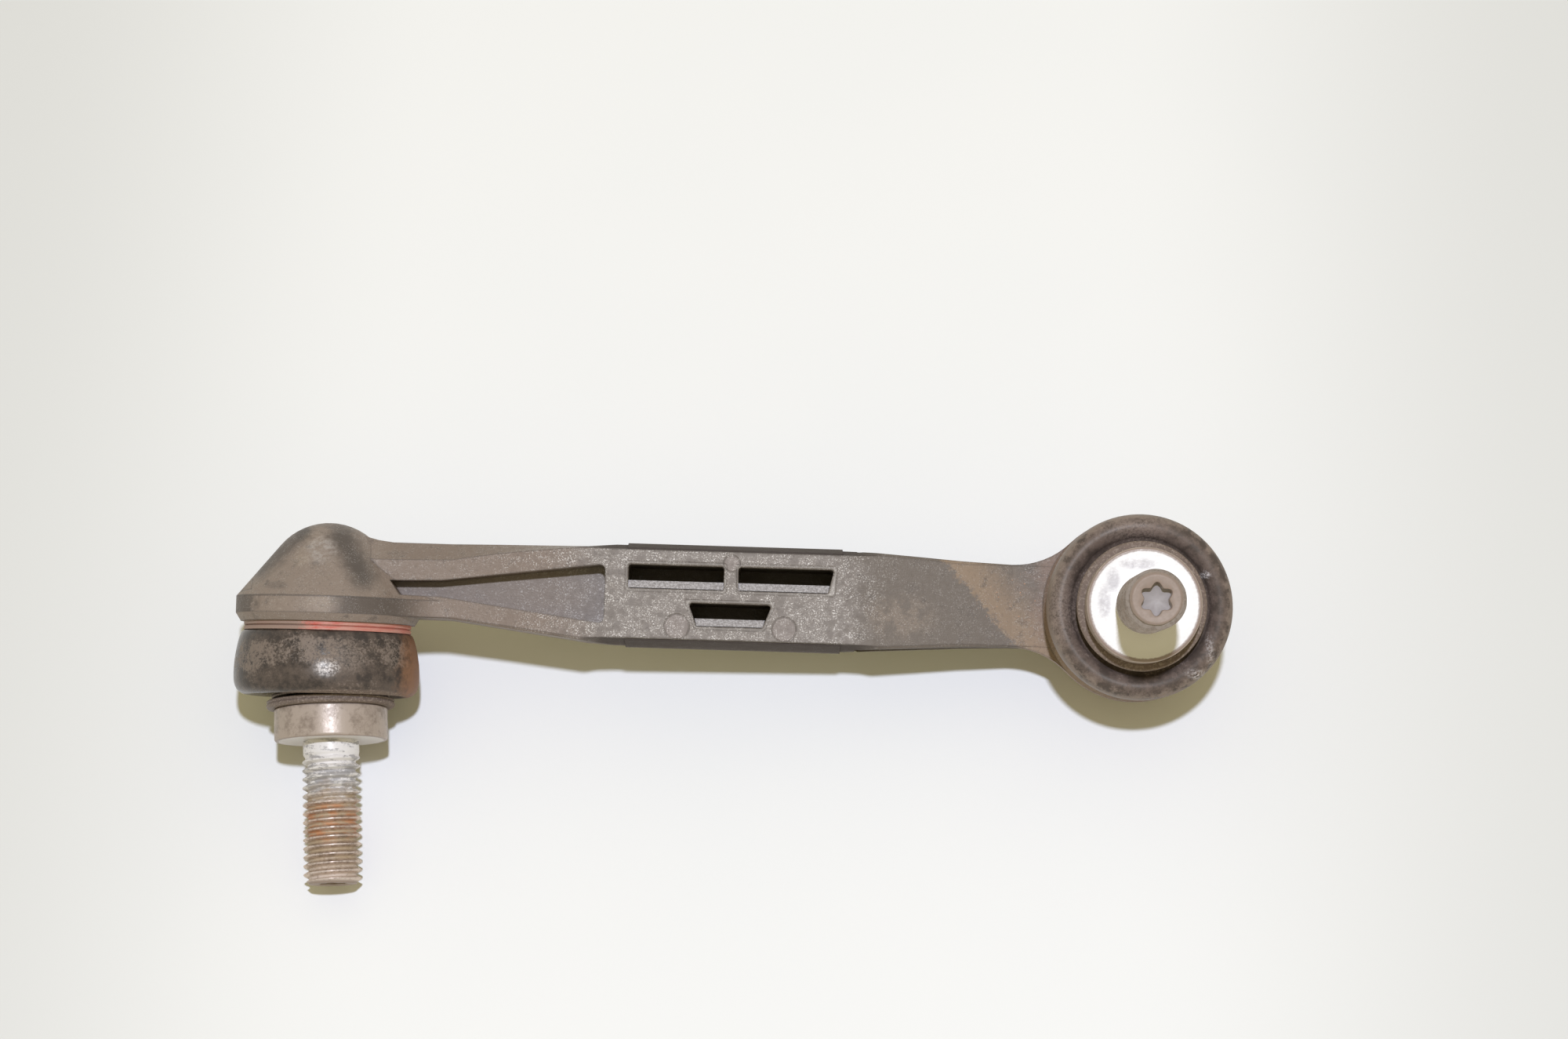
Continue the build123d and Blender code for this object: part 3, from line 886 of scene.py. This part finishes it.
def makeStud(side, thread, material):
    joint = joints[side]
    place = jointFrame(joint, 1.0)
    count = threadGrid["Segments"]
    mesh = bmesh.new()
    ball = studSizes["ball"]
    bottom = mesh.verts.new(place @ Vector((0, 0, -ball)) / 1000)
    neckAngle = degrees(acos(studSizes["neck"] / ball))
    rows, ballRows = [], studSizes["ballRows"]
    for i in range(1, ballRows + 1):
        angle = radians(-90 + (90 + neckAngle) * i / ballRows)
        rows.append((ball * cos(angle), ball * sin(angle)))
    rows += softened(studSizes["profile"])[1:]
    rings = [addRing(mesh, r, h, count, place) for r, h in rows]
    for i in range(count):
        mesh.faces.new((bottom, rings[0][(i + 1) % count], rings[0][i]))
    for lower, upper in zip(rings, rings[1:]):
        skin(mesh, lower, upper)

    # the end face, then the socket's wall and floor
    tip = studSizes["tip"]
    cap = [addRing(mesh, r, tip - depth, count, place) for r, depth in studSizes["endFace"]]
    for shrink, depth in studSizes["socketWall"]:
        lobes = [socketRadius(2 * pi * i / count, shrink) for i in range(count)]
        cap.append(addRing(mesh, lobes, tip - depth, count, place))
    floorRadius, floorDepth = studSizes["socketFloor"]
    cap.append(addRing(mesh, floorRadius, tip - floorDepth, count, place))
    for lower, upper in zip(cap, cap[1:]):
        skin(mesh, lower, upper)
    centre = mesh.verts.new(place @ Vector((0, 0, tip - studSizes["socketPoint"])) / 1000)
    for i in range(count):
        mesh.faces.new((cap[-1][i], cap[-1][(i + 1) % count], centre))

    shank = thread.data.copy()
    inMetres = place.copy()
    inMetres.translation = (place @ Vector((0, 0, threadStart))) / 1000
    shank.transform(inMetres)
    mesh.from_mesh(shank)
    bmesh.ops.remove_doubles(mesh, verts=mesh.verts, dist=seamWeld)
    bmesh.ops.recalc_face_normals(mesh, faces=mesh.faces)
    stud = finished(side + "StudWithThread", mesh)
    giveFinish(stud, material)
    weighted = stud.modifiers.new("weighted", "WEIGHTED_NORMAL")
    weighted.mode = "FACE_AREA"
    weighted.keep_sharp = True
    asMesh(stud)
    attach(stud, side + "_stud_body")
    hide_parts(side + "_ball_stud")


threadRule, threadInputs = threadTree()
leftSteel = studSteel("leftStudSteel", steelLook, joints["left"])
rightSteel = studSteel("rightStudSteel", rightSteelLook, joints["right"])
threadPiece = makeThread(threadRule, threadInputs, leftSteel)
makeStud("left", threadPiece, leftSteel)
makeStud("right", threadPiece, rightSteel)
bpy.data.objects.remove(threadPiece)
print("studs turned and threaded")


# boots: each in two halves that meet on the widest ring

bootSizes = {
    "segments": 96,
    "seamLean": 0.12,
    # heights above the ball's centre given for each half's start and end; the halves are not bent
    # here
    "bends": {"left": (8.9, 13.35, 16.7), "right": (8.2, 13.35, 17.2)},
    "girth": {"left": 1.0, "right": 0.988},
    "girthAbove": (12, 9),  # radius and height above which girth counts
    # radius, height and share of the stud's lean:
    # from the seam outside, over the lip and down the inside to the seam
    "upper": (
        (16.0, 13.35, 0.12), (16.1, 15.2, 0.14), (16.02, 16.9, 0.15), (15.55, 18.2, 0.16),
        (14.6, 18.95, 0.18), (13.6, 19.1, 0.25), (12.5, 18.6, 0.5), (11.6, 17.8, 0.8),
        (10.6, 17.5, 0.95), (9.7, 17.95, 1.0), (9.32, 18.7, 1.0),
        (9.32, 19.7, 1.0), (9.8, 19.95, 1.0),
        (10.7, 19.95, 1.0), (11.06, 20.2, 1.0), (10.92, 20.5, 1.0),
        (11.08, 20.8, 1.0), (11.05, 21.15, 1.0), (10.75, 21.42, 1.0),
        (8.7, 21.44, 1.0), (8.14, 21.1, 1.0), (8.1, 19.5, 1.0), (8.14, 17.9, 1.0), (8.5, 17.3, 1.0),
        (9.2, 16.95, 0.95), (10.4, 16.6, 0.8), (12.2, 16.9, 0.5), (13.8, 16.9, 0.2),
        (14.8, 15.4, 0.14), (15.0, 13.35, 0.12),
    ),
    # on from the seam inside, round the foot and its bead, and up the outside
    "lower": (
        (15.0, 13.35, 0.12), (14.8, 11.4, 0.08), (14.1, 9.6, 0.03), (13.2, 9.05, 0.0),
        (11.7, 9.0, 0.0), (11.2, 8.6, 0.0), (11.2, 8.04, 0.0), (12.2, 8.03, 0.0),
        (12.28, 7.42, 0.0), (13.3, 7.42, 0.0), (13.35, 8.03, 0.0), (14.2, 8.04, 0.0),
        (14.75, 8.3, 0.0), (15.3, 9.6, 0.02), (15.72, 11.5, 0.08), (16.0, 13.35, 0.12),
    ),
}


def curved(path, steps=4):
    # a smooth line through the points
    points = [Vector(p) for p in path]
    line = []
    for i in range(len(points) - 1):
        before = points[max(i - 1, 0)] if i else points[0] * 2 - points[1]
        after = points[i + 2] if i + 2 < len(points) else points[-1] * 2 - points[-2]
        here, there = points[i], points[i + 1]
        span = (there - here).length
        start = (there - before).normalized() * min(span, (there - before).length / 2)
        stop = (after - here).normalized() * min(span, (after - here).length / 2)
        for step in range(steps):
            t = step / steps
            line.append(here * (2 * t**3 - 3 * t**2 + 1) + start * (t**3 - 2 * t**2 + t)
                        + there * (3 * t**2 - 2 * t**3) + stop * (t**3 - t**2))
    line.append(points[-1])
    return [tuple(p) for p in line]


def makeBoot(side, material):
    joint, sizes = joints[side], bootSizes
    count = sizes["segments"]
    upper, lower = curved(sizes["upper"]), curved(sizes["lower"])
    whole = upper + lower[1:-1]  # once round the wall
    mesh = bmesh.new()
    rings = []
    leastRadius, leastHeight = sizes["girthAbove"]
    for r, h, share in whole:
        girth = sizes["girth"][side] if r > leastRadius and h > leastHeight else 1.0
        rings.append(addRing(mesh, r * girth, h, count, jointFrame(joint, share)))
    for i, ring in enumerate(rings):
        skin(mesh, ring, rings[(i + 1) % len(rings)])
    bmesh.ops.recalc_face_normals(mesh, faces=mesh.faces)
    mesh.normal_update()
    points = [v.co.copy() for v in mesh.verts]
    normals = [v.normal.copy() for v in mesh.verts]
    mesh.free()

    half = len(upper)
    seamAxis = joint["axis"](sizes["seamLean"]).normalized()
    low, middle, high = sizes["bends"][side]
    upperRows = list(range(half))
    lowerRows = list(range(half - 1, len(whole))) + [0]
    parts = (
        ("Upper", upperRows, side + "_boot_body", side + "_neck_body", middle, high),
        ("Lower", lowerRows, "link", side + "_boot_body", low, middle),
    )
    for part, rows, fromBody, toBody, start, end in parts:
        piece = bmesh.new()
        kept = [row * count + i for row in rows for i in range(count)]
        corners = [piece.verts.new(points[k]) for k in kept]
        halfRings = [corners[i:i + count] for i in range(0, len(corners), count)]
        for a, b in zip(halfRings, halfRings[1:] + halfRings[:1]):  # the last pair closes the cut
            skin(piece, a, b)
        bmesh.ops.recalc_face_normals(piece, faces=piece.faces)
        made = finished(side + "Boot" + part, piece)
        made.data.normals_split_custom_set_from_vertices([normals[k] for k in kept])
        rest = made.data.attributes.new("restPlace", "FLOAT_VECTOR", "POINT")
        rest.data.foreach_set("vector", [c for v in made.data.vertices for c in v.co])
        giveFinish(made, material)
        origin = joint["centre"]
        (origin + seamAxis * start) / 1000
        (origin + seamAxis * end) / 1000
        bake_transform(made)
        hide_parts(side + "_boot")


makeBoot("left", bootRubber("leftBootRubber", rubberLook, joints["left"]))
makeBoot("right", bootRubber("rightBootRubber", rightRubberLook, joints["right"]))
print("boots moulded")


# floor, world and lamp

floorLook = {
    "through": (3.16, -51.56, -0.93),  # just below the left stud's tip and the left boot
    "up": (-0.0676, 0.3946, 0.9164),
    "shift": (70, 55),  # mm, of the floor's middle from there, across and away
    "half": 420,
    "fade": (0.6, 0.98),  # shares of half, between which it fades out
    "colour": tone(247, 246, 243),
    "clouds": tone(243, 243, 241),
    # painted shade: the table darker towards the sides, where the lamp's light falls off
    "outer": tone(227, 226, 222),  # towards the picture's left and right
    "sideShadeFrom": (60.0, 150.0),  # mm from middleX
    "middleX": 74.0,
}
lightLook = {
    "lampPlace": (97.0, 336.0, 1500.0),
    "lampAim": (70, -10, 0),
    "lampSize": 68.0,
    "lampColour": (0.745, 0.805, 1.0),
    "lampPower": 18.9,
    "sky": (0.43, 0.385, 0.225, 1.0),
    "backdrop": tone(240, 240, 237),
}


def makeFloor():
    up = Vector(floorLook["up"]).normalized()
    across = (Vector((1, 0, 0)) - up.x * up).normalized()
    deep = up.cross(across)
    shiftAcross, shiftAway = floorLook["shift"]
    middle = Vector(floorLook["through"]) + across * shiftAcross + deep * shiftAway
    reach = floorLook["half"]
    mesh = bmesh.new()
    corners = []
    for a, b in ((-1, -1), (1, -1), (1, 1), (-1, 1)):
        corners.append(mesh.verts.new((middle + across * a * reach + deep * b * reach) / 1000))
    mesh.faces.new(corners)
    floor = finished("floor", mesh)
    f = Finish("paleTable")
    cloud = f.noise(f.place, 0.02, 2.0)
    clouds = f.rise(cloud, 0.3, 0.7) * 0.25
    colour = f.mix(clouds, floorLook["colour"], floorLook["clouds"])
    # painted shade towards the table's left and right
    fromMiddle = f.maths("ABSOLUTE", f.x - floorLook["middleX"])
    outer = f.rise(fromMiddle, *floorLook["sideShadeFrom"])
    colour = f.mix(outer, colour, floorLook["outer"])
    values = {"Base Color": colour, "Roughness": 0.6, "Specular IOR Level": 0.2}
    lit = f.node("ShaderNodeBsdfPrincipled", None, values)
    clear = f.node("ShaderNodeBsdfTransparent")
    under = f.node("ShaderNodeNewGeometry", out="Backfacing")
    away = f.vector("LENGTH", f.vector("SUBTRACT", f.place, tuple(middle)), out="Value")
    fadeStart, fadeEnd = floorLook["fade"]
    hidden = f.maths("MAXIMUM", under, f.rise(away, reach * fadeStart, reach * fadeEnd))
    surface = f.node("ShaderNodeMixShader", None, {0: hidden, 1: lit, 2: clear})
    f.node("ShaderNodeOutputMaterial", None, {"Surface": surface})
    giveFinish(floor, f.material)


def makeLight():
    lampData = bpy.data.lights.new("lamp", "AREA")
    lampData.shape = "DISK"
    lampData.size = lightLook["lampSize"] / 1000
    lampData.color = lightLook["lampColour"]
    lampData.energy = lightLook["lampPower"]
    lamp = bpy.data.objects.new("lamp", lampData)
    bpy.context.scene.collection.objects.link(lamp)
    place = metres(*lightLook["lampPlace"])
    towards = metres(*lightLook["lampAim"]) - place
    turned = towards.to_track_quat("-Z", "Y").to_matrix().to_4x4()
    lamp.matrix_world = Matrix.Translation(place) @ turned

    world = bpy.data.worlds.new("sky")
    bpy.context.scene.world = world
    world.use_nodes = True
    w = Graph(world.node_tree)
    rays = w.node("ShaderNodeLightPath")
    seen = w.maths("MAXIMUM", rays.pick("Is Camera Ray"), rays.pick("Is Glossy Ray"))
    seen = w.maths("MAXIMUM", seen, rays.pick("Is Transmission Ray"))
    sky = w.node("ShaderNodeBackground", None, {"Color": lightLook["sky"]})
    shown = w.node("ShaderNodeBackground", None, {"Color": lightLook["backdrop"]})
    both = w.node("ShaderNodeMixShader", None, {0: seen, 1: sky, 2: shown})
    w.node("ShaderNodeOutputWorld", None, {"Surface": both})


makeFloor()
makeLight()
print("floor and light set")
